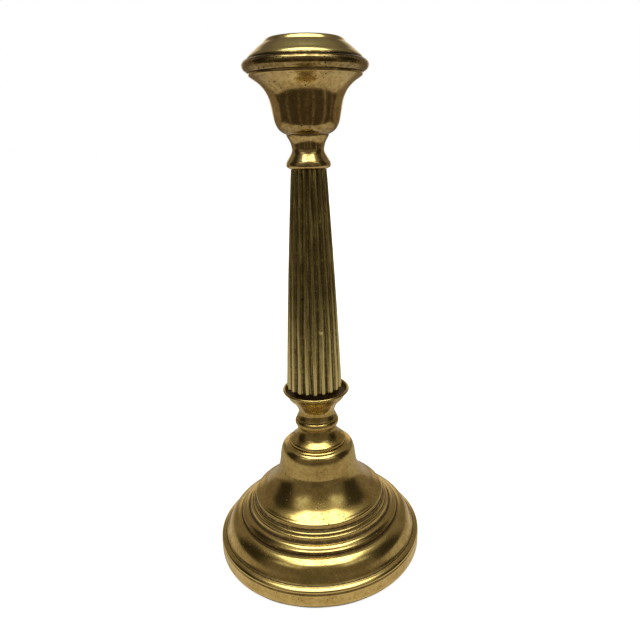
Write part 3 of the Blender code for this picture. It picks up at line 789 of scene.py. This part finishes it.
# Each painted area covers the ones before it: its glow and where it is
layers = [
    (0.25, elevation.rise(40.0, 56.0)),                                                   # ceiling
    (0.75, strip),
    (0.025, elevation.within(-12.0, 50.0, 9.0) * azimuth.within(-130.0, -70.0, 10.0)),    # dark left side
    (0.03, elevation.within(-8.0, 48.0, 9.0) * azimuth.within(64.0, 106.0, 8.0)),         # dark right side
    (0.20, elevation.rise(52.0, 34.0) * aside.within(112.0, 148.0, 8.0)),                 # back corners
    (0.90, elevation.rise(36.0, 18.0) * aside.rise(144.0, 160.0)),                        # white wall behind
    (0.06, elevation.within(-5.0, 6.0, 2.5) * azimuth.within(-24.0, 8.0, 4.0)),           # dark front, far off
    (0.07, elevation.rise(-2.0, -8.0) * aside.rise(120.0, 105.0)),                        # below the horizon
    (3.8, panel),
]
glow = ROOM_GLOW
for strength, mask in layers:
    glow = (strength - glow) * mask + glow
sky = (panel + strip + elevation.rise(50.0, 60.0) * 0.5).rise(0.0, 1.0)
tint = blended(room, sky, WARM, NEAR_WHITE)
sight = Wire.node(room, "ShaderNodeLightPath", output="Is Camera Ray")
light = Wire.node(room, "ShaderNodeBackground", output="Background", Color=tint, Strength=glow)
plain = Wire.node(room, "ShaderNodeBackground", output="Background", Color=(1.0, 1.0, 1.0, 1.0), Strength=1.0)
mixed = Wire.node(room, "ShaderNodeMixShader", in_0=sight, in_1=light, in_2=plain)
output = room.nodes.new("ShaderNodeOutputWorld")
room.links.new(mixed.socket, output.inputs["Surface"])
print("the room has", len(layers), "painted areas")

# %% [markdown]
# ## The floor
#
# The stick stands on plain white paper, lit so evenly that only a soft shadow is left at the foot. What the
# brass mirrors of it is different: a table about a metre across in modest light, with the dark room beyond.
# Something dark also hangs close in front, as a person who leans over does, and the cup mirrors it. The
# floor's finish gives each kind of ray its own answer, which a real floor can't do.
#
# The dark figure isn't modelled, because every view would show it. The floor's light leaves out what it would
# hide. A mirrored ray has a length, and it lands at a distance from the axis. By Pythagoras the height that it
# started from is the root of length^2 - reach^2, where the reach runs from the brass to where it lands. On its
# way down it passes the figure at start * (1 - figure's distance / landing distance), and it is hidden if that
# is above the figure's lower edge, which is lowest in front and rises towards the back.

# %% Lay the floor
FLOOR_HALF = 4.0
BRASS_RADIUS = 0.018                # of the cup, where mirrored rays start
FIGURE_DISTANCE = 0.12              # of the dark figure from the axis
FIGURE_EDGE = 0.085                 # height of its lower edge in front
FIGURE_SLOPE = 0.105                # how much higher that edge is at the sides, and twice as much behind
FIGURE_SOFT = 0.007
DARK_GLOW, TABLE_GLOW, FOOT_GLOW, WALL_GLOW, PAPER_GLOW = 0.05, 0.38, 0.18, 0.14, 0.84
TABLE_EDGE = (0.66, 0.42)           # distances over which the table brightens, inwards
FOOT_GLOW_EDGE = (0.11, 0.08)       # the same for the light that the foot throws round itself
WALL_START = (0.12, 0.30)           # how far back the light of the white wall reaches the floor
# Lighter furniture in the dark beyond the table: its bearing in degrees, half its width and its glow
STREAKS = [
    (-24.0, 1.5, 0.15), (21.0, 2.0, 0.17), (62.0, 3.5, 0.16), (88.0, 3.0, 0.10), (-64.0, 4.0, 0.06),
    (0.0, 9.0, 0.03),
]
floor_mesh = bpy.data.meshes.new("floor")
floor_corners = np.array([(-1, -1, 0), (1, -1, 0), (1, 1, 0), (-1, 1, 0)], float) * FLOOR_HALF
floor_mesh.from_pydata(floor_corners.tolist(), [], [(0, 1, 2, 3)])
floor = bpy.data.objects.new("floor", floor_mesh)
bpy.context.scene.collection.objects.link(floor)

paper = bpy.data.materials.new("white_paper")
paper.use_nodes = True
sheet = paper.node_tree
sheet.nodes.clear()
ground = Wire.node(sheet, "ShaderNodeTexCoord", output="Object")
ground_x, ground_y = (Wire.node(sheet, "ShaderNodeSeparateXYZ", output=axis, Vector=ground) for axis in "XY")
far = (ground_x * ground_x + ground_y * ground_y).power(0.5)
turned_away = 1.0 + ground_y / far  # 0 in front, 1 at the sides and 2 behind
length = Wire.node(sheet, "ShaderNodeLightPath", output="Ray Length")
reach = far - BRASS_RADIUS
start = (length * length - reach * reach).at_least(0.0).power(0.5)
passing = start * (1.0 - FIGURE_DISTANCE / far.at_least(FIGURE_DISTANCE))
hidden = (passing - FIGURE_EDGE - FIGURE_SLOPE * turned_away).rise(-FIGURE_SOFT, FIGURE_SOFT)
table = far.rise(*TABLE_EDGE) * (1.0 - hidden)
behind = ground_y.rise(*WALL_START)
bearing = ground_x.maths("ARCTAN2", ground_x, 0.0 - ground_y) * DEGREE
mirrored = DARK_GLOW + (TABLE_GLOW + FOOT_GLOW * far.rise(*FOOT_GLOW_EDGE)) * table
mirrored = mirrored + WALL_GLOW * behind * (1.0 - table)
for aim, wide, strength in STREAKS:
    mirrored = mirrored + bearing.within(aim - wide, aim + wide, 3.0) * (1.0 - table) * strength
warmth = blended(sheet, table, (1.0, 0.76, 0.50), (1.0, 0.87, 0.70))
seen = Wire.node(sheet, "ShaderNodeLightPath", output="Is Camera Ray")
dim = Wire.node(sheet, "ShaderNodeEmission", Color=warmth, Strength=mirrored)
lit = Wire.node(sheet, "ShaderNodeEmission", Color=(1.0, 1.0, 1.0, 1.0), Strength=PAPER_GLOW)
cast = Wire.node(sheet, "ShaderNodeBsdfDiffuse", Color=(0.6, 0.6, 0.6, 1.0))
white = Wire.node(sheet, "ShaderNodeAddShader", in_0=lit, in_1=cast)
answer = Wire.node(sheet, "ShaderNodeMixShader", in_0=seen, in_1=dim, in_2=white)
sheet_end = sheet.nodes.new("ShaderNodeOutputMaterial")
sheet.links.new(answer.socket, sheet_end.inputs["Surface"])
floor_mesh.materials.append(paper)

bpy.context.scene.view_settings.view_transform = "Standard"
print("floor", 2.0 * FLOOR_HALF, "m across")
